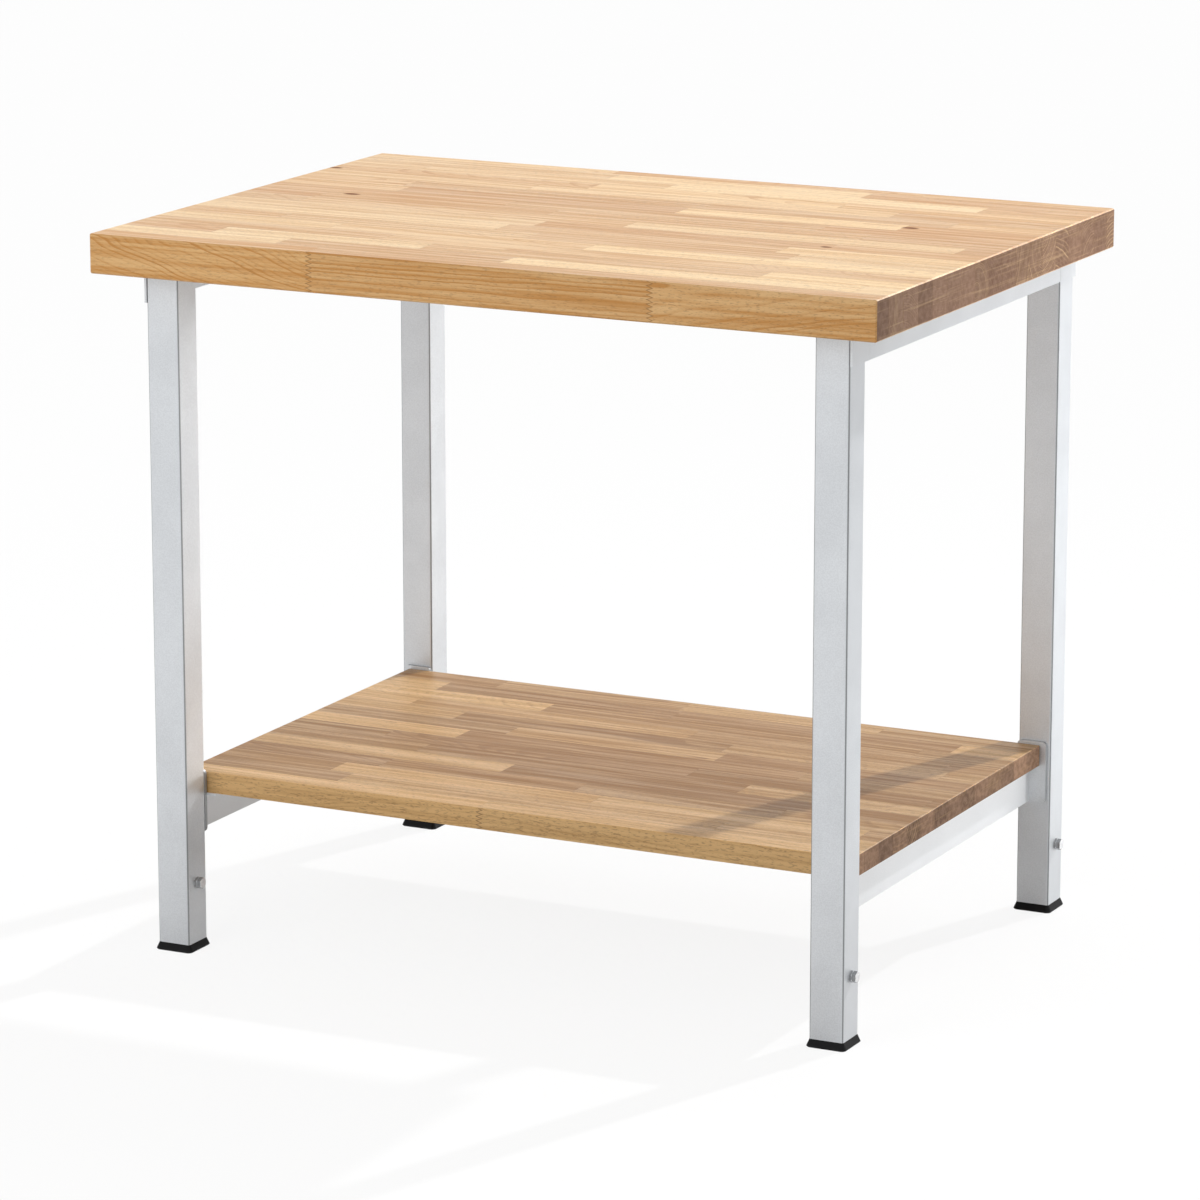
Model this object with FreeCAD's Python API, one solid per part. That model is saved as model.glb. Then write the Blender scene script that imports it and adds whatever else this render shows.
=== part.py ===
import FreeCAD, Part
import math
import os

# Height-adjustable workbench: a thick beech worktop and a beech shelf on two steel end frames.
# Each leg is a square tube with a smaller tube sliding in it, held by a clamp bolt near the foot.
# X runs along the bench, Y from front to back and Z up. The origin is on the floor under the
# middle of the worktop, and the legs are pushed right in. All lengths are in millimetres.

# Worktop: one glued beech board
TOP_WIDTH = 1060.0
TOP_DEPTH = 750.0
TOP_THICK = 50.0
TOP_BEVEL = 1.5
BENCH_HEIGHT = 925.0
SIDE_OVERHANG = 53.0
FRONT_OVERHANG = 46.0
REAR_OVERHANG = 4.0

# Outer leg tubes
LEG_SIZE = 45.0
LEG_WALL = 2.0
LEG_CORNER = 3.0
LEAST_CORNER = 0.5

# Inner leg tubes, which slide in the outer ones
SLIDE_GAP = 0.5
INNER_WALL = 2.0
INNER_CORNER = 2.5
INNER_LENGTH = 350.0

# Foot caps: a flared base under the tubes and a hollow plug up inside the inner tube
FOOT_HEIGHT = 10.0
FOOT_FLARE = 4.0
FOOT_EDGE = 1.2
PLUG_LENGTH = 25.0
PLUG_GAP = 0.2
PLUG_WALL = 3.0
PLUG_LEAD = 1.5

# Clamp bolts and the thin nuts welded to the +X side of the legs
CLAMP_HEIGHT = 78.0
BOLT_DIAMETER = 8.0
BOLT_TIP_BEVEL = 0.8
BOLT_TIP_GAP = 0.1
HEAD_FLATS = 13.0
HEAD_HEIGHT = 5.3
HEAD_STANDOFF = 0.4
NUT_FLATS = 13.0
NUT_HEIGHT = 3.0
THREAD_FIT = 0.05
BOLT_HOLE_GAP = 0.3
HEX_CHAMFER_ANGLE = 30.0
HEX_FACE_INSET = 0.3

# Folded sheet steel: head brackets on the legs, top rails between them, shelf rails
SHEET = 3.0
SHEET_BEND = 1.0
TOP_RAIL_WEB = 40.0
BRACKET_REACH = 5.0
SEAM_BEVEL = 1.0
SHELF_RAIL_WEB = 50.0
SHELF_RAIL_FLANGE = 30.0
SHELF_RAIL_INSET = 28.0

# Rounded plates between the shelf rails and the legs, flush with the legs' inner sides
PLATE_INSET = 5.0
PLATE_THICK = 5.0
PLATE_CORNER = 6.0
PLATE_RISE = 4.0
PLATE_DROP = 1.0

# Shelf: one glued beech board between the end plates
SHELF_TOP = 226.0
SHELF_THICK = 27.0
SHELF_INSET = 13.0
SHELF_GAP = 2.5
SHELF_ROUND = 3.0
SHELF_BEVEL = 0.8

# Wood screws up through the rails into the boards
TOP_SCREW_DIAMETER = 6.0
TOP_SCREW_LENGTH = 40.0
TOP_SCREW_HEAD = 12.0
TOP_SCREW_HEAD_HEIGHT = 4.0
TOP_SCREW_SOCKET = 4.5
SHELF_SCREW_DIAMETER = 5.0
SHELF_SCREW_LENGTH = 22.0
SHELF_SCREW_HEAD = 10.0
SHELF_SCREW_HEAD_HEIGHT = 3.5
SHELF_SCREW_SOCKET = 3.8
SCREWS_PER_RAIL = 3
SCREW_END_MARGIN = 60.0
SCREW_HOLE_GAP = 0.4
PILOT_GAP = 0.05
SCREW_TIP_LENGTH = 6.0
SCREW_TIP_RADIUS = 0.6
SCREW_HEAD_ROUND = 1.0
SOCKET_DEPTH = 1.8

# Places that follow from the sizes above
TOP_UNDERSIDE = BENCH_HEIGHT - TOP_THICK
LEG_TOP = TOP_UNDERSIDE - SHEET
LEG_OUTER_X = TOP_WIDTH / 2 - SIDE_OVERHANG
LEG_CENTRE_X = LEG_OUTER_X - LEG_SIZE / 2
LEG_FRONT_Y = -TOP_DEPTH / 2 + FRONT_OVERHANG
LEG_REAR_Y = TOP_DEPTH / 2 - REAR_OVERHANG
INNER_SIZE = LEG_SIZE - 2 * LEG_WALL - 2 * SLIDE_GAP
INNER_BORE = INNER_SIZE - 2 * INNER_WALL
SHELF_UNDERSIDE = SHELF_TOP - SHELF_THICK
PLATE_FRONT_Y = LEG_FRONT_Y + LEG_SIZE
PLATE_REAR_Y = LEG_REAR_Y - LEG_SIZE
PLATE_WIDTH = LEG_SIZE - PLATE_INSET
PLATE_CENTRE_X = LEG_OUTER_X - PLATE_INSET - PLATE_WIDTH / 2
SHELF_RAIL_START = PLATE_FRONT_Y + PLATE_THICK
SHELF_RAIL_END = PLATE_REAR_Y - PLATE_THICK
SHELF_RAIL_X = LEG_OUTER_X - SHELF_RAIL_INSET
BRACKET_LENGTH = LEG_SIZE + BRACKET_REACH
TOP_RAIL_START = LEG_FRONT_Y + BRACKET_LENGTH
TOP_RAIL_END = LEG_REAR_Y - BRACKET_LENGTH
TOP_RAIL_X = LEG_OUTER_X + SHEET
TOP_RAIL_FLANGE = LEG_SIZE + SHEET
TOP_SCREW_X = TOP_RAIL_X - (TOP_RAIL_FLANGE + SHEET) / 2
SHELF_SCREW_X = SHELF_RAIL_X - (SHELF_RAIL_FLANGE + SHEET) / 2

SIDES = {"left": -1, "right": 1}
ENDS = {"front": LEG_FRONT_Y + LEG_SIZE / 2, "rear": LEG_REAR_Y - LEG_SIZE / 2}
ALONG = FreeCAD.Vector(1, 0, 0)
BACK = FreeCAD.Vector(0, 1, 0)
UP = FreeCAD.Vector(0, 0, 1)


def vector(x, y, z):
    return FreeCAD.Vector(x, y, z)


def export(node, shape):
    shape.exportStep("parts/" + node + ".step")


def rounded_square_wire(size, corner, z):
    """A square outline with round corners, centred on the Z axis at height z."""
    half = size / 2
    straight = half - corner
    bulge = straight + corner * math.sqrt(0.5)
    edges = []
    for turn in range(4):
        spin = FreeCAD.Rotation(UP, 90 * turn)
        run_start = spin.multVec(vector(half, -straight, z))
        run_end = spin.multVec(vector(half, straight, z))
        arc_middle = spin.multVec(vector(bulge, bulge, z))
        arc_end = spin.multVec(vector(straight, half, z))
        edges.append(Part.LineSegment(run_start, run_end).toShape())
        edges.append(Part.Arc(run_end, arc_middle, arc_end).toShape())
    return Part.Wire(edges)


def square_bar(size, corner, z, length):
    face = Part.Face(rounded_square_wire(size, corner, z))
    return face.extrude(vector(0, 0, length))


def square_tube(size, wall, corner, z, length):
    bore_corner = max(corner - wall, LEAST_CORNER)
    bore = square_bar(size - 2 * wall, bore_corner, z, length)
    return square_bar(size, corner, z, length).cut(bore)


def folded_angle(side, fold_x, top_z, web, flange, start_y, end_y):
    """Sheet folded to an angle: web down the outer side at fold_x, flange inwards at top_z."""
    outer_bend = SHEET_BEND + SHEET
    bend_out = outer_bend * (1 - math.sqrt(0.5))
    bend_in = outer_bend - SHEET_BEND * math.sqrt(0.5)

    def point(inwards, down):
        return vector(side * (fold_x - inwards), start_y, top_z - down)

    outer_arc = Part.Arc(point(outer_bend, 0), point(bend_out, bend_out), point(0, outer_bend))
    inner_arc = Part.Arc(point(SHEET, outer_bend), point(bend_in, bend_in), point(outer_bend, SHEET))
    outline = [
        Part.LineSegment(point(flange, 0), point(outer_bend, 0)),
        outer_arc,
        Part.LineSegment(point(0, outer_bend), point(0, web)),
        Part.LineSegment(point(0, web), point(SHEET, web)),
        Part.LineSegment(point(SHEET, web), point(SHEET, outer_bend)),
        inner_arc,
        Part.LineSegment(point(outer_bend, SHEET), point(flange, SHEET)),
        Part.LineSegment(point(flange, SHEET), point(flange, 0)),
    ]
    wire = Part.Wire([curve.toShape() for curve in outline])
    return Part.Face(wire).extrude(vector(0, end_y - start_y, 0))


def hexagon_face(flats, centre, corner_way, side_way):
    """A flat hexagon of the given width across flats, with one corner towards corner_way."""
    corner_radius = flats / math.sqrt(3)
    points = []
    for step in range(7):
        angle = math.radians(60 * step)
        reach = corner_way * math.cos(angle) + side_way * math.sin(angle)
        points.append(centre + reach * corner_radius)
    return Part.Face(Part.makePolygon(points))


def hexagon_along_x(flats, start_x, height):
    """A hexagon bar along +X whose far end has the turned chamfer of a bolt head or nut."""
    corner_radius = flats / math.sqrt(3)
    bar = hexagon_face(flats, vector(start_x, 0, 0), UP, BACK).extrude(vector(height, 0, 0))
    face_radius = flats / 2 - HEX_FACE_INSET
    chamfer = (corner_radius - face_radius) * math.tan(math.radians(HEX_CHAMFER_ANGLE))
    straight = Part.makeCylinder(corner_radius, height - chamfer, vector(start_x, 0, 0), ALONG)
    cone_start = vector(start_x + height - chamfer, 0, 0)
    turned = Part.makeCone(corner_radius, face_radius, chamfer, cone_start, ALONG)
    return bar.common(straight.fuse(turned))


def screw_shank(diameter, length, gap, x, y, z):
    """Straight shank and pointed tip of a wood screw, standing up from z; gap widens it for a pilot hole."""
    radius = diameter / 2 + gap
    straight = length - SCREW_TIP_LENGTH
    shank = Part.makeCylinder(radius, straight, vector(x, y, z))
    tip = Part.makeCone(radius, SCREW_TIP_RADIUS + gap, SCREW_TIP_LENGTH + gap, vector(x, y, z + straight))
    return shank.fuse(tip)


def wood_screw(diameter, length, head, head_height, socket_flats, x, y, z):
    """A round-headed wood screw with a hexagon socket, its head under z and its shank up from z."""
    head_start = vector(x, y, z - head_height)
    cap = Part.makeCylinder(head / 2, head_height, head_start)
    rim = [edge for edge in cap.Edges if edge.Closed and edge.CenterOfMass.z < z - head_height / 2]
    cap = cap.makeFillet(SCREW_HEAD_ROUND, rim)
    socket = hexagon_face(socket_flats, head_start, ALONG, BACK).extrude(vector(0, 0, SOCKET_DEPTH))
    shank = screw_shank(diameter, length, 0, x, y, z)
    return cap.cut(socket).fuse(shank).removeSplitter()


def screw_places(start_y, end_y):
    """Even places along a rail for its screws."""
    first = start_y + SCREW_END_MARGIN
    last = end_y - SCREW_END_MARGIN
    step = (last - first) / (SCREWS_PER_RAIL - 1)
    return [first + step * number for number in range(SCREWS_PER_RAIL)]


def rail_with_screws(side, rail, board, sizes, screw_x, flange_top, places):
    """Drill the rail's flange, sink pilot holes in the board and make the screws that hold them together."""
    diameter, length, head, head_height, socket = sizes
    screws = []
    for y in places:
        x = side * screw_x
        seat = flange_top - SHEET
        hole = Part.makeCylinder(diameter / 2 + SCREW_HOLE_GAP, SHEET, vector(x, y, seat))
        rail = rail.cut(hole)
        board = board.cut(screw_shank(diameter, length, PILOT_GAP, x, y, seat))
        screws.append(wood_screw(diameter, length, head, head_height, socket, x, y, seat))
    return rail, board, Part.makeCompound(screws)


def seam_edges(rail, side):
    """The upright edges at both ends of a top rail's outer face, where it meets the brackets."""
    found = []
    for edge in rail.Edges:
        box = edge.BoundBox
        upright = box.ZLength > TOP_RAIL_WEB / 2
        outer = abs(edge.CenterOfMass.x - side * TOP_RAIL_X) < SHEET / 2
        if upright and outer:
            found.append(edge)
    return found


def make_worktop():
    corner = vector(-TOP_WIDTH / 2, -TOP_DEPTH / 2, TOP_UNDERSIDE)
    board = Part.makeBox(TOP_WIDTH, TOP_DEPTH, TOP_THICK, corner)
    return board.makeChamfer(TOP_BEVEL, board.Edges)


def make_shelf():
    half_width = LEG_OUTER_X - SHELF_INSET
    front = SHELF_RAIL_START + SHELF_GAP
    depth = SHELF_RAIL_END - SHELF_GAP - front
    board = Part.makeBox(2 * half_width, depth, SHELF_THICK, vector(-half_width, front, SHELF_UNDERSIDE))
    middle_z = SHELF_UNDERSIDE + SHELF_THICK / 2
    lengthwise = [edge for edge in board.Edges if edge.BoundBox.XLength > half_width]
    front_edges = [edge for edge in lengthwise if edge.CenterOfMass.y < front + depth / 2]
    front_top = [edge for edge in front_edges if edge.CenterOfMass.z > middle_z]
    board = board.makeFillet(SHELF_ROUND, front_top)
    end_tops = []
    for edge in board.Edges:
        across = edge.BoundBox.YLength > depth / 2
        if across and edge.CenterOfMass.z > middle_z:
            end_tops.append(edge)
    return board.makeChamfer(SHELF_BEVEL, end_tops)


def make_leg_tube(side, y):
    """An outer tube with its clamp hole, eased along the top of its outer side for the bracket's bend."""
    x = side * LEG_CENTRE_X
    tube = square_tube(LEG_SIZE, LEG_WALL, LEG_CORNER, FOOT_HEIGHT, LEG_TOP - FOOT_HEIGHT)
    tube.translate(vector(x, y, 0))
    bore_x = x + LEG_SIZE / 2 - LEG_WALL - SLIDE_GAP
    hole_start = vector(bore_x, y, FOOT_HEIGHT + CLAMP_HEIGHT)
    hole = Part.makeCylinder(BOLT_DIAMETER / 2 + BOLT_HOLE_GAP, LEG_WALL + 2 * SLIDE_GAP, hole_start, ALONG)
    outer_x = side * LEG_OUTER_X
    near_y = y - LEG_SIZE / 2
    ease_outline = [
        vector(outer_x, near_y, LEG_TOP),
        vector(outer_x - side * SHEET_BEND, near_y, LEG_TOP),
        vector(outer_x, near_y, LEG_TOP - SHEET_BEND),
        vector(outer_x, near_y, LEG_TOP),
    ]
    ease = Part.Face(Part.makePolygon(ease_outline)).extrude(vector(0, LEG_SIZE, 0))
    return tube.cut(hole).cut(ease)


def make_inner_leg(x, y):
    tube = square_tube(INNER_SIZE, INNER_WALL, INNER_CORNER, FOOT_HEIGHT, INNER_LENGTH)
    tube.translate(vector(x, y, 0))
    return tube


def make_foot_cap(x, y):
    flared = LEG_SIZE + 2 * FOOT_FLARE
    flared_corner = LEG_CORNER + FOOT_FLARE
    outlines = [
        rounded_square_wire(flared - 2 * FOOT_EDGE, flared_corner - FOOT_EDGE, 0),
        rounded_square_wire(flared, flared_corner, FOOT_EDGE),
        rounded_square_wire(LEG_SIZE, LEG_CORNER, FOOT_HEIGHT),
    ]
    base = Part.makeLoft(outlines, True, True)
    plug_size = INNER_BORE - 2 * PLUG_GAP
    plug_corner = max(INNER_CORNER - INNER_WALL, LEAST_CORNER) + PLUG_GAP
    lead_start = FOOT_HEIGHT + PLUG_LENGTH - PLUG_LEAD
    plug = square_bar(plug_size, plug_corner, FOOT_HEIGHT, PLUG_LENGTH - PLUG_LEAD)
    lead_outlines = [
        rounded_square_wire(plug_size, plug_corner, lead_start),
        rounded_square_wire(plug_size - 2 * PLUG_LEAD, plug_corner, lead_start + PLUG_LEAD),
    ]
    lead = Part.makeLoft(lead_outlines, True, True)
    hollow = square_bar(plug_size - 2 * PLUG_LEAD - 2 * PLUG_WALL, plug_corner, FOOT_HEIGHT, PLUG_LENGTH)
    cap = base.fuse([plug, lead]).cut(hollow).removeSplitter()
    cap.translate(vector(x, y, 0))
    return cap


def make_clamp_nut(x, y):
    body = hexagon_along_x(NUT_FLATS, 0, NUT_HEIGHT)
    thread = Part.makeCylinder(BOLT_DIAMETER / 2 + THREAD_FIT, NUT_HEIGHT, vector(0, 0, 0), ALONG)
    nut = body.cut(thread)
    nut.translate(vector(x + LEG_SIZE / 2, y, FOOT_HEIGHT + CLAMP_HEIGHT))
    return nut


def make_clamp_bolt(x, y):
    head_start = NUT_HEIGHT + HEAD_STANDOFF
    tip_x = -(LEG_WALL + SLIDE_GAP - BOLT_TIP_GAP)
    head = hexagon_along_x(HEAD_FLATS, head_start, HEAD_HEIGHT)
    radius = BOLT_DIAMETER / 2
    tip = Part.makeCone(radius - BOLT_TIP_BEVEL, radius, BOLT_TIP_BEVEL, vector(tip_x, 0, 0), ALONG)
    shank_start = vector(tip_x + BOLT_TIP_BEVEL, 0, 0)
    shank = Part.makeCylinder(radius, head_start - tip_x - BOLT_TIP_BEVEL, shank_start, ALONG)
    bolt = head.fuse([shank, tip]).removeSplitter()
    bolt.translate(vector(x + LEG_SIZE / 2, y, FOOT_HEIGHT + CLAMP_HEIGHT))
    return bolt


def make_head_bracket(side, end):
    if end == "front":
        start_y = LEG_FRONT_Y
    else:
        start_y = LEG_REAR_Y - BRACKET_LENGTH
    end_y = start_y + BRACKET_LENGTH
    return folded_angle(side, TOP_RAIL_X, TOP_UNDERSIDE, TOP_RAIL_WEB, TOP_RAIL_FLANGE, start_y, end_y)


def make_top_rail(side):
    ends = (TOP_RAIL_START, TOP_RAIL_END)
    rail = folded_angle(side, TOP_RAIL_X, TOP_UNDERSIDE, TOP_RAIL_WEB, TOP_RAIL_FLANGE, *ends)
    return rail.makeChamfer(SEAM_BEVEL, seam_edges(rail, side))


def make_shelf_rail(side):
    top = SHELF_UNDERSIDE
    ends = (SHELF_RAIL_START, SHELF_RAIL_END)
    return folded_angle(side, SHELF_RAIL_X, top, SHELF_RAIL_WEB, SHELF_RAIL_FLANGE, *ends)


def make_end_plate(side, end):
    start_x = side * PLATE_CENTRE_X - PLATE_WIDTH / 2
    bottom = SHELF_UNDERSIDE - SHELF_RAIL_WEB - PLATE_DROP
    height = SHELF_TOP + PLATE_RISE - bottom
    if end == "front":
        start_y = PLATE_FRONT_Y
    else:
        start_y = PLATE_REAR_Y - PLATE_THICK
    plate = Part.makeBox(PLATE_WIDTH, PLATE_THICK, height, vector(start_x, start_y, bottom))
    corners = [edge for edge in plate.Edges if edge.BoundBox.YLength > PLATE_THICK / 2]
    return plate.makeFillet(PLATE_CORNER, corners)


os.makedirs("parts", exist_ok=True)

worktop = make_worktop()
shelf = make_shelf()
top_screw = (
    TOP_SCREW_DIAMETER, TOP_SCREW_LENGTH, TOP_SCREW_HEAD, TOP_SCREW_HEAD_HEIGHT, TOP_SCREW_SOCKET)
shelf_screw = (
    SHELF_SCREW_DIAMETER, SHELF_SCREW_LENGTH, SHELF_SCREW_HEAD, SHELF_SCREW_HEAD_HEIGHT, SHELF_SCREW_SOCKET)
top_places = screw_places(TOP_RAIL_START, TOP_RAIL_END)
shelf_places = screw_places(SHELF_RAIL_START, SHELF_RAIL_END)

for side_name, side in SIDES.items():
    rail = make_top_rail(side)
    rail, worktop, screws = rail_with_screws(
        side, rail, worktop, top_screw, TOP_SCREW_X, TOP_UNDERSIDE, top_places)
    export(side_name + "_top_rail", rail)
    export(side_name + "_worktop_screws", screws)

    rail = make_shelf_rail(side)
    rail, shelf, screws = rail_with_screws(
        side, rail, shelf, shelf_screw, SHELF_SCREW_X, SHELF_UNDERSIDE, shelf_places)
    export(side_name + "_shelf_rail", rail)
    export(side_name + "_shelf_screws", screws)

    for end_name, leg_y in ENDS.items():
        corner_name = end_name + "_" + side_name
        leg_x = side * LEG_CENTRE_X
        export(corner_name + "_leg_tube", make_leg_tube(side, leg_y))
        export(corner_name + "_inner_leg", make_inner_leg(leg_x, leg_y))
        export(corner_name + "_foot_cap", make_foot_cap(leg_x, leg_y))
        export(corner_name + "_clamp_nut", make_clamp_nut(leg_x, leg_y))
        export(corner_name + "_clamp_bolt", make_clamp_bolt(leg_x, leg_y))
        export(corner_name + "_head_bracket", make_head_bracket(side, end_name))
        export(corner_name + "_end_plate", make_end_plate(side, end_name))

export("worktop", worktop)
export("shelf_board", shelf)
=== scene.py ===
import math

import bpy
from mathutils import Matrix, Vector


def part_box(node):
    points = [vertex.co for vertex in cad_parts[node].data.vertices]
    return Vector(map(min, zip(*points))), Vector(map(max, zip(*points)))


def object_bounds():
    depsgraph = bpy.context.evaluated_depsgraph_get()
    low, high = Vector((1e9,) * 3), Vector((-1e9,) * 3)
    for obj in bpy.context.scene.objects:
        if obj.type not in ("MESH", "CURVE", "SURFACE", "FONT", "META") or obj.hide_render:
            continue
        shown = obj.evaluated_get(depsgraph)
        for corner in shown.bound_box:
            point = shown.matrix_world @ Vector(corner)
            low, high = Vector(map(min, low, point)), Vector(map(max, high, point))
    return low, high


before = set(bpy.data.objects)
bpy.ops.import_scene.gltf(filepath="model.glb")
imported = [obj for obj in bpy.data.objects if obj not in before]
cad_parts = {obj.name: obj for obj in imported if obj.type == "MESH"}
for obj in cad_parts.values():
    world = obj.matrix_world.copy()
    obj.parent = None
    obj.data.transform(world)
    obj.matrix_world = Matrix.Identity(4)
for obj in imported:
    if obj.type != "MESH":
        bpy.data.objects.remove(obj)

cad_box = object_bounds()


# Leg tubes: four square steel tubes of 45 mm that carry the bench.
# They are cut to length, welded to their brackets and plates, and powder coated a satin
# silver grey with a fine speckle. Their rolled corners are darkened with painted shade.
SIDES = ("left", "right")
CORNERS = [end + "_" + side for side in SIDES for end in ("front", "rear")]
SILVER = (0.745, 0.770, 0.797, 1.0)
SILVER_DARK = (0.622, 0.643, 0.667, 1.0)
# Grey of the painted shade on the legs' rounded corners and the plates' edges
PAINTED_SHADE_GREY = (0.16, 0.165, 0.17, 1.0)
COAT_GRAINS = 700.0
COAT_CLOUDS = 14.0


def put(tree, kind, inputs=(), **options):
    """A node with its options set, and each named input given a value or another node's output."""
    node = tree.nodes.new(kind)
    for name, value in options.items():
        setattr(node, name, value)
    for key, value in dict(inputs).items():
        socket = node.inputs[key]
        if isinstance(value, bpy.types.NodeSocket):
            tree.links.new(value, socket)
        else:
            socket.default_value = value
    return node


def calc(tree, operation, first, second=0.0, third=0.0):
    """The result of one step of arithmetic."""
    return put(tree, "ShaderNodeMath", {0: first, 1: second, 2: third}, operation=operation).outputs[0]


def fade(tree, value, low, high, start=0.0, end=1.0):
    """A smooth change from start to end while value goes from low to high."""
    inputs = {"Value": value, "From Min": low, "From Max": high, "To Min": start, "To Max": end}
    return put(tree, "ShaderNodeMapRange", inputs, interpolation_type="SMOOTHSTEP").outputs[0]


def mix(tree, share, first, second, way="MIX"):
    """Two colours mixed, with this share of the second."""
    inputs = {0: share, 6: first, 7: second}
    return put(tree, "ShaderNodeMix", inputs, data_type="RGBA", blend_type=way).outputs[2]


def new_material(name):
    """A material with nothing in it yet, and the tree to build it in."""
    material = bpy.data.materials.new(name)
    material.use_nodes = True
    material.node_tree.nodes.clear()
    return material, material.node_tree


def close_material(tree, surface):
    """Ends a material's tree in its output."""
    put(tree, "ShaderNodeOutputMaterial", {"Surface": surface.outputs[0]})


def new_group(name, inputs, outputs):
    """A shader group with its sockets, and the nodes that hold what comes in and what goes out."""
    tree = bpy.data.node_groups.new(name, "ShaderNodeTree")
    for label, kind in inputs:
        tree.interface.new_socket(name=label, in_out="INPUT", socket_type=kind)
    for label, kind in outputs:
        tree.interface.new_socket(name=label, in_out="OUTPUT", socket_type=kind)
    return tree, tree.nodes.new("NodeGroupInput").outputs, tree.nodes.new("NodeGroupOutput")


def build_speckle_group():
    """Fine grains and wide cloudy patches, as in a sprayed, plated or moulded surface."""
    inputs = [("Position", "NodeSocketVector"), ("Grains", "NodeSocketFloat"), ("Clouds", "NodeSocketFloat")]
    outputs = [("Grain", "NodeSocketFloat"), ("Cloud", "NodeSocketFloat")]
    tree, given, result = new_group("speckle", inputs, outputs)
    grain = put(tree, "ShaderNodeTexNoise", {
        "Vector": given["Position"], "Scale": given["Grains"], "Detail": 2.0, "Roughness": 0.6})
    cloud = put(tree, "ShaderNodeTexNoise", {
        "Vector": given["Position"], "Scale": given["Clouds"], "Detail": 3.0, "Roughness": 0.55})
    tree.links.new(grain.outputs[0], result.inputs["Grain"])
    tree.links.new(cloud.outputs[0], result.inputs["Cloud"])
    return tree


speckle = build_speckle_group()


def speckle_on(tree, clouds, grains=COAT_GRAINS):
    """The speckle group on Object coordinates, with its clouds and grains counted per metre."""
    place = put(tree, "ShaderNodeTexCoord").outputs["Object"]
    inputs = {"Position": place, "Grains": grains, "Clouds": clouds}
    return put(tree, "ShaderNodeGroup", inputs, node_tree=speckle).outputs


def build_painted_edge_shade_group():
    """Painted shade: how much rounded corners, and the edges of a plate that faces along Y, are darkened."""
    inputs = [("Facing", "NodeSocketVector"), ("Corners", "NodeSocketFloat"), ("Edges", "NodeSocketFloat")]
    tree, given, result = new_group("painted_edge_shade", inputs, [("Shade", "NodeSocketFloat")])
    facing = put(tree, "ShaderNodeSeparateXYZ", {0: given["Facing"]}).outputs
    along_x, along_y, along_z = (calc(tree, "ABSOLUTE", facing[axis]) for axis in ("X", "Y", "Z"))
    squareness = calc(tree, "MAXIMUM", calc(tree, "MAXIMUM", along_x, along_y), along_z)
    corner = calc(tree, "MULTIPLY", fade(tree, squareness, 0.80, 0.97, 1.0, 0.0), given["Corners"])
    edge = calc(tree, "MULTIPLY", fade(tree, along_y, 0.3, 0.7, 1.0, 0.0), given["Edges"])
    tree.links.new(calc(tree, "MAXIMUM", corner, edge), result.inputs["Shade"])
    return tree


painted_edge_shade = build_painted_edge_shade_group()


def silver_coat(name, pale, dark, corners=0.0, edges=0.0):
    """Sprayed silver, with the shares of painted shade that darken round corners and a plate's edges."""
    material, tree = new_material(name)
    spots = speckle_on(tree, COAT_CLOUDS)
    grain = fade(tree, spots["Grain"], 0.3, 0.7)
    cloud = fade(tree, spots["Cloud"], 0.3, 0.7)
    share = calc(tree, "MULTIPLY_ADD", grain, 0.65, calc(tree, "MULTIPLY", cloud, 0.35))
    colour = mix(tree, share, dark, pale)
    # Painted shade on round corners and plate edges
    if corners or edges:
        facing = put(tree, "ShaderNodeTexCoord").outputs["Normal"]
        inputs = {"Facing": facing, "Corners": corners, "Edges": edges}
        edge_shade = put(tree, "ShaderNodeGroup", inputs, node_tree=painted_edge_shade).outputs["Shade"]
        colour = mix(tree, edge_shade, colour, PAINTED_SHADE_GREY)
    rough = calc(tree, "MULTIPLY_ADD", spots["Grain"], 0.16, 0.36)
    bump = put(tree, "ShaderNodeBump", {"Height": spots["Grain"], "Strength": 0.12, "Distance": 0.0004})
    surface = put(tree, "ShaderNodeBsdfPrincipled", {
        "Base Color": colour, "Roughness": rough, "Metallic": 0.5, "Normal": bump.outputs[0]})
    close_material(tree, surface)
    return material


def dress(names, material):
    """Gives the CAD pieces with these names a finish."""
    for name in names:
        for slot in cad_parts[name].material_slots:
            slot.material = material


# The legs' rounded corners get painted shade.
leg_silver = silver_coat("silver_legs", SILVER, SILVER_DARK, corners=0.85)
dress([corner + "_leg_tube" for corner in CORNERS], leg_silver)


# Head brackets and top rails: 3 mm steel sheet folded to an angle, web outside and flange on top.
# The brackets are welded to the legs' heads and the rails butt between them. Both have the
# legs' silver coat, which covers the open bends evenly.
sheet_silver = silver_coat("silver_sheet", SILVER, SILVER_DARK)
dress([corner + "_head_bracket" for corner in CORNERS], sheet_silver)
dress([side + "_top_rail" for side in SIDES], sheet_silver)


# Shelf rails and end plates: a folded 3 mm angle at each end of the shelf, in a paler copy of the silver
# coat that paints in the side light falling on them.
# It is welded to round-cornered plates of 5 mm steel, which have the legs' coat, with painted shade along
# the cut edges.
# A paler copy of the legs' silver: painted light for the side light on the rails
PAINTED_LIGHT_SILVER = (0.83, 0.845, 0.86, 1.0)
PAINTED_LIGHT_SILVER_DARK = (0.755, 0.77, 0.785, 1.0)
painted_light_silver = silver_coat("silver_rails", PAINTED_LIGHT_SILVER, PAINTED_LIGHT_SILVER_DARK)
# The plates' edges get painted shade.
plate_silver = silver_coat("silver_plates", SILVER, SILVER_DARK, edges=0.6)
dress([corner + "_end_plate" for corner in CORNERS], plate_silver)
dress([side + "_shelf_rail" for side in SIDES], painted_light_silver)


# Inner legs: 40 mm square steel tubes that slide in the legs and set the height.
# They are zinc plated and drawn lengthwise, with faint scratches from sliding up and down.
ZINC_TUBE = (0.60, 0.61, 0.62, 1.0)
ZINC_TUBE_DULL = (0.42, 0.43, 0.44, 1.0)
DRAWN_LINES_PER_METRE = (900.0, 900.0, 6.0)


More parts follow.
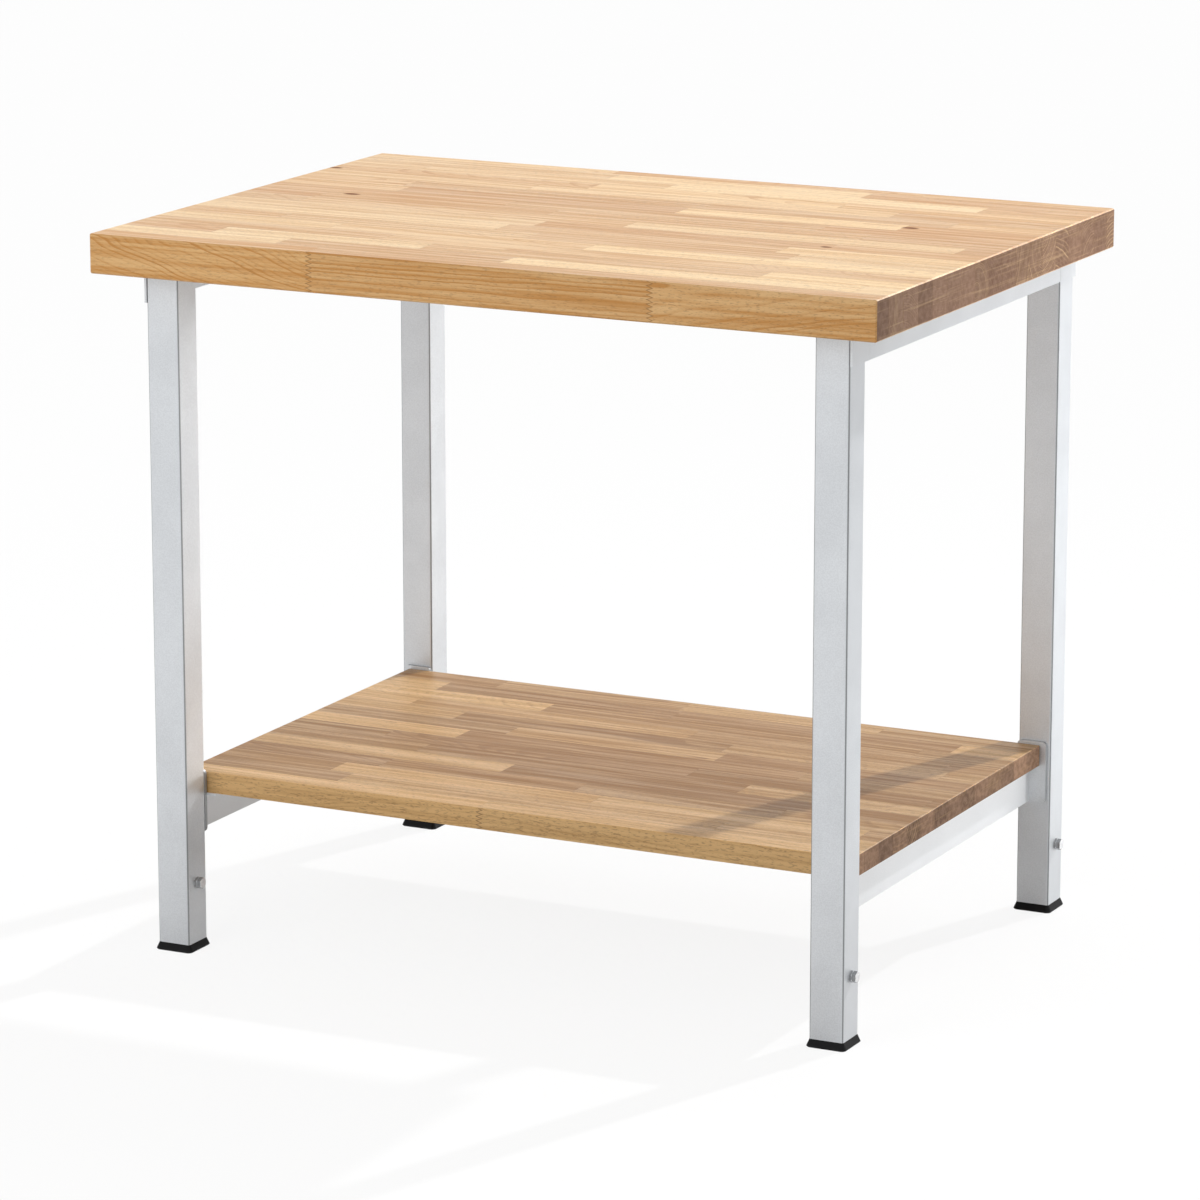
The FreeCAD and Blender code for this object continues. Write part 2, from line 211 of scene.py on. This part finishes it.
def plated_tube():
    material, tree = new_material("plated_tube")
    spots = speckle_on(tree, clouds=9.0)
    place = put(tree, "ShaderNodeTexCoord").outputs["Object"]
    drawn = put(tree, "ShaderNodeMapping", {"Vector": place, "Scale": DRAWN_LINES_PER_METRE})
    lines = put(tree, "ShaderNodeTexNoise", {"Vector": drawn.outputs[0], "Scale": 1.0, "Detail": 3.0})
    share = calc(tree, "MULTIPLY_ADD", lines.outputs[0], 0.6, calc(tree, "MULTIPLY", spots["Cloud"], 0.4))
    colour = mix(tree, fade(tree, share, 0.3, 0.7), ZINC_TUBE_DULL, ZINC_TUBE)
    rough = calc(tree, "MULTIPLY_ADD", lines.outputs[0], 0.25, 0.22)
    bump = put(tree, "ShaderNodeBump", {"Height": lines.outputs[0], "Strength": 0.1, "Distance": 0.0003})
    surface = put(tree, "ShaderNodeBsdfPrincipled", {
        "Base Color": colour, "Roughness": rough, "Metallic": 1.0, "Normal": bump.outputs[0]})
    close_material(tree, surface)
    return material


dress([corner + "_inner_leg" for corner in CORNERS], plated_tube())


# Foot caps: black plastic mouldings with a flared square sole and a plug up inside the inner tube.
# The sides have a fine moulded grain, and the sole's rim is scuffed by the floor.
FOOT_BLACK = (0.006, 0.006, 0.0065, 1.0)
FOOT_SCUFFED = (0.022, 0.022, 0.023, 1.0)
SCUFF_FULL = 0.0005
SCUFF_END = 0.004


def foot_plastic():
    material, tree = new_material("foot_plastic")
    spots = speckle_on(tree, clouds=70.0, grains=1200.0)
    height = put(tree, "ShaderNodeSeparateXYZ", {0: put(tree, "ShaderNodeTexCoord").outputs["Object"]})
    low = fade(tree, height.outputs["Z"], SCUFF_FULL, SCUFF_END, 1.0, 0.0)
    scuff = calc(tree, "MULTIPLY", low, fade(tree, spots["Cloud"], 0.35, 0.65))
    colour = mix(tree, scuff, FOOT_BLACK, FOOT_SCUFFED)
    rough = calc(tree, "MULTIPLY_ADD", spots["Grain"], 0.2, 0.42)
    bump = put(tree, "ShaderNodeBump", {"Height": spots["Grain"], "Strength": 0.25, "Distance": 0.0003})
    surface = put(tree, "ShaderNodeBsdfPrincipled", {
        "Base Color": colour, "Roughness": rough, "Normal": bump.outputs[0], "Specular IOR Level": 0.15})
    close_material(tree, surface)
    return material


dress([corner + "_foot_cap" for corner in CORNERS], foot_plastic())


# Clamp bolts and nuts: an M8 hexagon bolt through a thin nut welded on each leg, which grips
# the inner tube. Both are bright zinc, a little cloudy, with painted shade darkening their flats.
ZINC_BRIGHT = (0.93, 0.94, 0.95, 1.0)
ZINC_CLOUDY = (0.76, 0.77, 0.79, 1.0)
# Grey of the painted shade on the fasteners' sides
ZINC_SIDE_SHADE = (0.20, 0.205, 0.21, 1.0)


def build_painted_side_shade_group():
    """Painted shade on a fastener's sides, which face away from its axis."""
    inputs = [("Facing", "NodeSocketVector"), ("Axis", "NodeSocketVector")]
    tree, given, result = new_group("painted_side_shade", inputs, [("Side Shade", "NodeSocketFloat")])
    turned = put(tree, "ShaderNodeVectorMath", {0: given["Facing"], 1: given["Axis"]},
                 operation="DOT_PRODUCT").outputs["Value"]
    side_shade = fade(tree, calc(tree, "ABSOLUTE", turned), 0.2, 0.6, 1.0, 0.0)
    tree.links.new(side_shade, result.inputs["Side Shade"])
    return tree


painted_side_shade = build_painted_side_shade_group()


def bright_zinc(name, axis):
    """Plated fasteners that lie along this axis: their ends are bright and their sides darkened with painted
    shade.
    """
    material, tree = new_material(name)
    spots = speckle_on(tree, clouds=260.0, grains=2200.0)
    colour = mix(tree, fade(tree, spots["Cloud"], 0.35, 0.65), ZINC_CLOUDY, ZINC_BRIGHT)
    facing = put(tree, "ShaderNodeTexCoord").outputs["Normal"]
    inputs = {"Facing": facing, "Axis": axis}
    side_shade = put(tree, "ShaderNodeGroup", inputs, node_tree=painted_side_shade).outputs["Side Shade"]
    # Painted shade on the sides
    colour = mix(tree, calc(tree, "MULTIPLY", side_shade, 0.8), colour, ZINC_SIDE_SHADE)
    rough = calc(tree, "MULTIPLY_ADD", spots["Cloud"], 0.2, 0.12)
    bump = put(tree, "ShaderNodeBump", {"Height": spots["Grain"], "Strength": 0.08, "Distance": 0.0002})
    surface = put(tree, "ShaderNodeBsdfPrincipled", {
        "Base Color": colour, "Roughness": rough, "Metallic": 0.6, "Normal": bump.outputs[0]})
    close_material(tree, surface)
    return material


bolt_zinc = bright_zinc("bolt_zinc", (1.0, 0.0, 0.0))
dress([corner + "_clamp_nut" for corner in CORNERS], bolt_zinc)
dress([corner + "_clamp_bolt" for corner in CORNERS], bolt_zinc)


# Shelf board: a 27 mm board of beech staves, finger-jointed end to end, glued side by side
# and oiled. It lies between the end plates, screwed to the shelf rails from below.
SHELF_TONES = {
    "pale": (0.63, 0.41, 0.185, 1.0), "deep": (0.25, 0.115, 0.018, 1.0),
    "end_pale": (0.315, 0.185, 0.113, 1.0), "end_deep": (0.085, 0.045, 0.027, 1.0)}
WARM_TINT = (1.04, 0.98, 0.89, 1.0)
ROSY_TINT = (1.0, 0.98, 0.98, 1.0)
KNOT_BROWN = (0.14, 0.04, 0.006, 1.0)
KNOT_SHAPE = 0.55
STAVE_WIDTH = 0.043
FIRST_STAVE_CUT = 0.008
PIECE_LENGTH = 0.40
RING_WIDTH = 0.0042
RING_WAVE = 0.016
NEAREST_PITH = 0.012
PITH_SPREAD = 0.09
FINGER_PITCH = 0.0055
FINGER_DEPTH = 0.008
FINGER_LINE = 0.0018
GLUE_LINE = 0.0005
WAVES_PER_METRE = (4.0, 16.0, 16.0)
STREAKS_PER_METRE = (3.2, 110.0, 140.0)
FLECKS_PER_METRE = (150.0, 800.0, 800.0)
SAW_MARKS_PER_METRE = (1.0, 9.0, 420.0)


def build_beech_group():
    """Solid beech in staves along X: each piece between finger joints is cut from its own tree."""
    inputs = [
        ("Position", "NodeSocketVector"), ("Stave Width", "NodeSocketFloat"),
        ("Piece Length", "NodeSocketFloat"), ("Ring Width", "NodeSocketFloat"), ("Seed", "NodeSocketFloat")]
    outputs = [
        ("Tone", "NodeSocketFloat"), ("Warmth", "NodeSocketFloat"), ("Figure", "NodeSocketFloat"),
        ("Rings", "NodeSocketFloat"), ("Streaks", "NodeSocketFloat"), ("Flecks", "NodeSocketFloat"),
        ("Glue", "NodeSocketFloat"), ("Fingers", "NodeSocketFloat")]
    tree, given, result = new_group("glued_beech", inputs, outputs)
    place = put(tree, "ShaderNodeSeparateXYZ", {0: given["Position"]}).outputs

    # Staves side by side along Y
    across = calc(tree, "DIVIDE", place["Y"], given["Stave Width"])
    stave = calc(tree, "FLOOR", across)
    off_middle = calc(tree, "SUBTRACT", calc(tree, "SUBTRACT", across, stave), 0.5)
    off_middle = calc(tree, "MULTIPLY", off_middle, given["Stave Width"])

    # Pieces end to end along X, with zigzag fingers at their ends and random values of their own
    tooth = calc(tree, "PINGPONG", place["Z"], FINGER_PITCH / 2)
    tooth = calc(tree, "MULTIPLY", tooth, FINGER_DEPTH / (FINGER_PITCH / 2))
    along = calc(tree, "DIVIDE", calc(tree, "ADD", place["X"], tooth), given["Piece Length"])
    along = calc(tree, "ADD", along, calc(tree, "MULTIPLY_ADD", stave, 7.31, given["Seed"]))
    cell = {"W": along, "Scale": 1.0, "Randomness": 0.8}
    piece = put(tree, "ShaderNodeTexVoronoi", cell, voronoi_dimensions="1D", feature="F1")
    edge = put(tree, "ShaderNodeTexVoronoi", cell, voronoi_dimensions="1D", feature="DISTANCE_TO_EDGE")
    first = put(tree, "ShaderNodeSeparateXYZ", {0: piece.outputs["Color"]}).outputs
    more = put(tree, "ShaderNodeTexWhiteNoise", {"Vector": piece.outputs["Color"]}, noise_dimensions="3D")
    second = put(tree, "ShaderNodeSeparateXYZ", {0: more.outputs["Color"]}).outputs

    # Noise drawn out along the grain, different in every piece
    own = put(tree, "ShaderNodeVectorMath", {0: piece.outputs["Color"], 1: (37.0, 41.0, 43.0)},
              operation="MULTIPLY").outputs[0]

    def noise_along(scale, detail):
        stretched = put(tree, "ShaderNodeVectorMath", {0: given["Position"], 1: scale, 2: own},
                        operation="MULTIPLY_ADD").outputs[0]
        return put(tree, "ShaderNodeTexNoise", {
            "Vector": stretched, "Scale": 1.0, "Detail": detail, "Roughness": 0.66})

    # Year rings round a pith that lies somewhere beside the piece and slants a little
    waves = noise_along(WAVES_PER_METRE, 2.0)
    bend = put(tree, "ShaderNodeSeparateXYZ", {0: waves.outputs["Color"]}).outputs
    angle = calc(tree, "MULTIPLY", first["X"], math.tau)
    reach = calc(tree, "MULTIPLY_ADD", first["Y"], PITH_SPREAD, NEAREST_PITH)
    offsets = []
    for turn, home, lean, wave in (
            ("COSINE", off_middle, first["Z"], bend["X"]), ("SINE", place["Z"], second["X"], bend["Y"])):
        pith = calc(tree, "MULTIPLY", calc(tree, turn, angle), reach)
        lean = calc(tree, "SUBTRACT", lean, 0.5)
        slope = calc(tree, "MULTIPLY", calc(tree, "POWER", lean, 3.0), 2.0)
        offset = calc(tree, "SUBTRACT", calc(tree, "MULTIPLY_ADD", slope, place["X"], home), pith)
        offsets.append(calc(tree, "MULTIPLY_ADD", wave, RING_WAVE, offset))
    squares = calc(tree, "MULTIPLY_ADD", offsets[0], offsets[0], calc(tree, "POWER", offsets[1], 2.0))
    growth = calc(tree, "MULTIPLY", given["Ring Width"], calc(tree, "MULTIPLY_ADD", second["Z"], 0.9, 0.6))
    count = calc(tree, "DIVIDE", calc(tree, "SQRT", squares), growth)
    year = calc(tree, "FLOOR", count)
    season = calc(tree, "SUBTRACT", count, year)
    late = calc(tree, "MULTIPLY", fade(tree, season, 0.45, 0.9), fade(tree, season, 0.92, 1.0, 1.0, 0.0))
    mark = put(tree, "ShaderNodeTexWhiteNoise", {
        "W": calc(tree, "MULTIPLY_ADD", first["X"], 91.0, year)}, noise_dimensions="1D").outputs["Value"]
    boldness = calc(tree, "MULTIPLY_ADD", calc(tree, "POWER", mark, 1.5), 0.85, 0.15)
    rings = calc(tree, "MULTIPLY", late, boldness)

    # Fibres, flecks and the lines where pieces meet
    streaks = fade(tree, noise_along(STREAKS_PER_METRE, 6.0).outputs[0], 0.36, 0.64)
    flecks = fade(tree, noise_along(FLECKS_PER_METRE, 1.0).outputs[0], 0.54, 0.68)
    to_glue = calc(tree, "SUBTRACT", calc(tree, "MULTIPLY", given["Stave Width"], 0.5),
                   calc(tree, "ABSOLUTE", off_middle))
    to_joint = calc(tree, "MULTIPLY", edge.outputs["Distance"], given["Piece Length"])
    glue = fade(tree, to_glue, GLUE_LINE / 3, GLUE_LINE, 1.0, 0.0)
    fingers = fade(tree, to_joint, FINGER_LINE / 3, FINGER_LINE, 1.0, 0.0)

    made = {
        "Tone": second["Y"], "Warmth": second["Z"], "Figure": first["Z"], "Rings": rings,
        "Streaks": streaks, "Flecks": flecks, "Glue": glue, "Fingers": fingers}
    for label, socket in made.items():
        tree.links.new(socket, result.inputs[label])
    return tree


beech = build_beech_group()


def beech_board(name, board, seed, tone_spread, oil, pale, deep, end_pale, end_deep, knots=()):
    """Oiled glued beech for one board, whose first stave is cut a little narrower at the front."""
    material, tree = new_material(name)
    low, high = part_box(board)
    place = put(tree, "ShaderNodeTexCoord")
    start = (0.0, FIRST_STAVE_CUT - low.y, -(low.z + high.z) / 2)
    shifted = put(tree, "ShaderNodeMapping", {"Vector": place.outputs["Object"], "Location": start})
    wood = put(tree, "ShaderNodeGroup", {
        "Position": shifted.outputs[0], "Stave Width": STAVE_WIDTH, "Piece Length": PIECE_LENGTH,
        "Ring Width": RING_WIDTH, "Seed": seed}, node_tree=beech).outputs

    # Planed faces along the grain
    dark_fleck = tuple(0.4 * value for value in deep[:3]) + (1.0,)
    depth = calc(tree, "MULTIPLY_ADD", wood["Tone"], tone_spread, -0.18)
    depth = calc(tree, "MULTIPLY_ADD", wood["Streaks"], 0.44, depth)
    ringed = calc(tree, "MULTIPLY_ADD", wood["Figure"], 0.42, 0.18)
    depth = calc(tree, "MULTIPLY_ADD", wood["Rings"], ringed, depth)
    long_grain = mix(tree, depth, pale, deep)
    long_grain = mix(tree, 1.0, long_grain, mix(tree, wood["Warmth"], WARM_TINT, ROSY_TINT), "MULTIPLY")
    flecked = calc(tree, "MULTIPLY_ADD", wood["Figure"], -0.30, 0.52)
    long_grain = mix(tree, calc(tree, "MULTIPLY", wood["Flecks"], flecked), long_grain, dark_fleck)

    # Sawn ends across the grain
    end_mix = calc(tree, "MULTIPLY_ADD", wood["Streaks"], 0.35, calc(tree, "MULTIPLY", wood["Tone"], 0.65))
    end_grain = mix(tree, end_mix, end_pale, end_deep)
    bold = calc(tree, "MULTIPLY", wood["Rings"], fade(tree, wood["Figure"], 0.55, 0.9, 0.06, 0.4))
    end_grain = mix(tree, bold, end_grain, pale)
    level = put(tree, "ShaderNodeMapping", {"Vector": place.outputs["Object"], "Scale": SAW_MARKS_PER_METRE})
    saw = put(tree, "ShaderNodeTexNoise", {"Vector": level.outputs[0], "Scale": 1.0, "Detail": 2.0})
    end_grain = mix(tree, fade(tree, saw.outputs[0], 0.5, 0.8, 0.0, 0.2), end_grain, pale)

    # Both put together, with the joints' lines, which show most on the edges
    facing = put(tree, "ShaderNodeSeparateXYZ", {0: place.outputs["Normal"]}).outputs
    cross_cut = fade(tree, calc(tree, "ABSOLUTE", facing["X"]), 0.75, 0.95)
    colour = mix(tree, cross_cut, long_grain, end_grain)
    on_edge = fade(tree, calc(tree, "ABSOLUTE", facing["Y"]), 0.5, 0.9, 0.1, 0.7)
    comb = calc(tree, "MULTIPLY", wood["Fingers"], on_edge)
    joints = calc(tree, "MAXIMUM", calc(tree, "MULTIPLY", wood["Glue"], 0.4), comb)
    colour = mix(tree, joints, colour, dark_fleck)

    # Knots on the flat faces, as dull as the sawn ends
    spot = put(tree, "ShaderNodeSeparateXYZ", {0: place.outputs["Object"]}).outputs
    flat = fade(tree, calc(tree, "ABSOLUTE", facing["Z"]), 0.5, 0.9)
    dull = cross_cut
    for knot_x, knot_y, length in knots:
        away_x = calc(tree, "DIVIDE", calc(tree, "SUBTRACT", spot["X"], knot_x), length)
        away_y = calc(tree, "DIVIDE", calc(tree, "SUBTRACT", spot["Y"], knot_y), KNOT_SHAPE * length)
        away = calc(tree, "MULTIPLY_ADD", away_x, away_x, calc(tree, "POWER", away_y, 2.0))
        away = calc(tree, "ADD", away, calc(tree, "MULTIPLY", wood["Streaks"], 0.35))
        knot = calc(tree, "MULTIPLY", fade(tree, away, 0.25, 1.3, 1.0, 0.0), flat)
        colour = mix(tree, knot, colour, KNOT_BROWN)
        dull = calc(tree, "MAXIMUM", dull, knot)

    rough = calc(tree, "MULTIPLY_ADD", wood["Streaks"], 0.18, 0.36)
    rough = calc(tree, "MULTIPLY_ADD", dull, 0.42, rough)
    relief = calc(tree, "MULTIPLY_ADD", wood["Rings"], -0.5, wood["Streaks"])
    relief = calc(tree, "SUBTRACT", relief, joints)
    bump = put(tree, "ShaderNodeBump", {"Height": relief, "Strength": 0.16, "Distance": 0.0006})
    surface = put(tree, "ShaderNodeBsdfPrincipled", {
        "Base Color": colour, "Roughness": rough, "Normal": bump.outputs[0],
        "Coat Weight": fade(tree, dull, 0.0, 1.0, oil, 0.0), "Coat Roughness": 0.35})
    close_material(tree, surface)
    return material


shelf_beech = beech_board(
    "shelf_beech", "shelf_board", seed=170.93, tone_spread=0.88, oil=0.08, **SHELF_TONES)
dress(["shelf_board"], shelf_beech)


# Worktop: a 50 mm slab of the same finger-jointed beech staves, planed, eased along its edges
# and oiled. It overhangs the legs and is screwed to the top rails from below.
TOP_TONES = {
    "pale": (0.83, 0.605, 0.32, 1.0), "deep": (0.48, 0.225, 0.05, 1.0),
    "end_pale": (0.28, 0.165, 0.108, 1.0), "end_deep": (0.15, 0.079, 0.049, 1.0)}
# Each knot has its place on X and Y and half its length
TOP_KNOTS = [(-0.521, 0.232, 0.012), (-0.392, 0.044, 0.014), (0.360, 0.115, 0.013), (0.325, -0.062, 0.009)]
worktop_beech = beech_board(
    "worktop_beech", "worktop", seed=140.232, tone_spread=0.85, oil=0.3, knots=TOP_KNOTS, **TOP_TONES)
dress(["worktop"], worktop_beech)


# Wood screws: three up through each rail into the worktop and the shelf, in bright zinc,
# with round heads and hexagon sockets under the flanges.
# The screws' sides get the same painted shade as the bolts'.
screw_zinc = bright_zinc("screw_zinc", (0.0, 0.0, 1.0))
dress([side + "_worktop_screws" for side in SIDES], screw_zinc)
dress([side + "_shelf_screws" for side in SIDES], screw_zinc)


# Studio floor: a wide pale sheet level with the feet. To the eye it is a thin veil that shows the
# bench's shadow on white, so that a leg drawn out below it can still be seen.
FLOOR_HALF = 40.0
FLOOR_DROP = 0.0002
FLOOR_WHITE = (0.95, 0.95, 0.95, 1.0)
FLOOR_BOUNCE = (0.45, 0.45, 0.45, 1.0)
VEIL = 0.12


def studio_floor():
    mesh = bpy.data.meshes.new("studio_floor")
    outline = [(-FLOOR_HALF, -FLOOR_HALF), (FLOOR_HALF, -FLOOR_HALF), (FLOOR_HALF, FLOOR_HALF),
               (-FLOOR_HALF, FLOOR_HALF)]
    level = cad_box[0].z - FLOOR_DROP
    mesh.from_pydata([(x, y, level) for x, y in outline], [], [(0, 1, 2, 3)])
    floor = bpy.data.objects.new("studio_floor", mesh)
    bpy.context.scene.collection.objects.link(floor)
    material, tree = new_material("studio_floor")
    rays = put(tree, "ShaderNodeLightPath").outputs
    straight = calc(tree, "MAXIMUM", rays["Is Camera Ray"], rays["Is Transmission Ray"])
    seen = calc(tree, "MAXIMUM", straight, rays["Is Glossy Ray"])
    veil = calc(tree, "MULTIPLY_ADD", straight, VEIL - 1.0, 1.0)
    paper = put(tree, "ShaderNodeBsdfDiffuse", {"Color": mix(tree, seen, FLOOR_BOUNCE, FLOOR_WHITE)})
    clear = put(tree, "ShaderNodeBsdfTransparent")
    thin_paper = put(tree, "ShaderNodeMixShader", {0: veil, 1: clear.outputs[0], 2: paper.outputs[0]})
    close_material(tree, thin_paper)
    mesh.materials.append(material)


studio_floor()


# Studio light: an even white room, a lamp behind and to the right that throws the rear leg's shadow
# over the shelf, and soft boxes at the right, in front, and above behind the worktop. The boxes
# give only matt light, so that they leave no bright patches in the silver.
ROOM_STRENGTH = 0.48
KEY_DIRECTION = Vector((0.26, 0.74, 0.62))
KEY_STRENGTH = 2.15
KEY_ANGLE = math.radians(1.4)


def add_lamp(name, kind, energy, towards):
    """A lamp whose light comes from this direction."""
    light = bpy.data.lights.new(name, kind)
    light.energy = energy
    lamp = bpy.data.objects.new(name, light)
    lamp.rotation_euler = towards.to_track_quat("Z", "Y").to_euler()
    bpy.context.scene.collection.objects.link(lamp)
    return lamp


def soft_box(name, place, aim, size, watts, spread):
    """A square lamp at a place, aimed at a point, with its light spread over this many degrees."""
    box = add_lamp(name, "AREA", watts, Vector(place) - Vector(aim))
    box.location = place
    box.data.size = size
    box.data.spread = math.radians(spread)
    box.visible_glossy = False


def studio_light():
    world = bpy.data.worlds.new("studio_room")
    bpy.context.scene.world = world
    world.use_nodes = True
    tree = world.node_tree
    tree.nodes.clear()
    rays = put(tree, "ShaderNodeLightPath").outputs
    seen = calc(tree, "MAXIMUM", rays["Is Camera Ray"], rays["Is Glossy Ray"])
    seen = calc(tree, "MAXIMUM", seen, rays["Is Transmission Ray"])
    strength = calc(tree, "MULTIPLY_ADD", seen, 1.0 - ROOM_STRENGTH, ROOM_STRENGTH)
    light = put(tree, "ShaderNodeBackground", {"Color": (1.0, 1.0, 1.0, 1.0), "Strength": strength})
    put(tree, "ShaderNodeOutputWorld", {"Surface": light.outputs[0]})

    key = add_lamp("key_lamp", "SUN", KEY_STRENGTH, KEY_DIRECTION)
    key.data.angle = KEY_ANGLE
    soft_box("side_box", (5.48, 2.59, 0.75), aim=(0.0, 0.15, 0.62), size=1.0, watts=3.1, spread=9.5)
    soft_box("front_box", (-0.6, -2.6, 1.5), aim=(0.0, 0.0, 0.5), size=1.5, watts=29.0, spread=180.0)
    soft_box("rear_box", (0.3, 1.6, 2.6), aim=(0.0, 0.0, 0.6), size=1.5, watts=16.0, spread=180.0)


studio_light()


# Camera: a long lens, from the right and a little above, where the bench was photographed from.
# It is tilted down and its lens isn't shifted, because other views keep the shift.
CAMERA_PLACE = (3.0074, -6.0496, 2.0182)
CAMERA_YAW = math.radians(26.53)
CAMERA_PITCH = math.radians(13.169)
CAMERA_LENS = 163.7
SENSOR_WIDTH = 36.0
lens = bpy.data.cameras.new("bench_camera")
lens.lens = CAMERA_LENS
lens.sensor_width = SENSOR_WIDTH
camera = bpy.data.objects.new("bench_camera", lens)
camera.location = CAMERA_PLACE
camera.rotation_euler = (math.pi / 2 - CAMERA_PITCH, 0.0, CAMERA_YAW)
bpy.context.scene.collection.objects.link(camera)
bpy.context.scene.camera = camera
bpy.context.scene.view_settings.view_transform = "Standard"
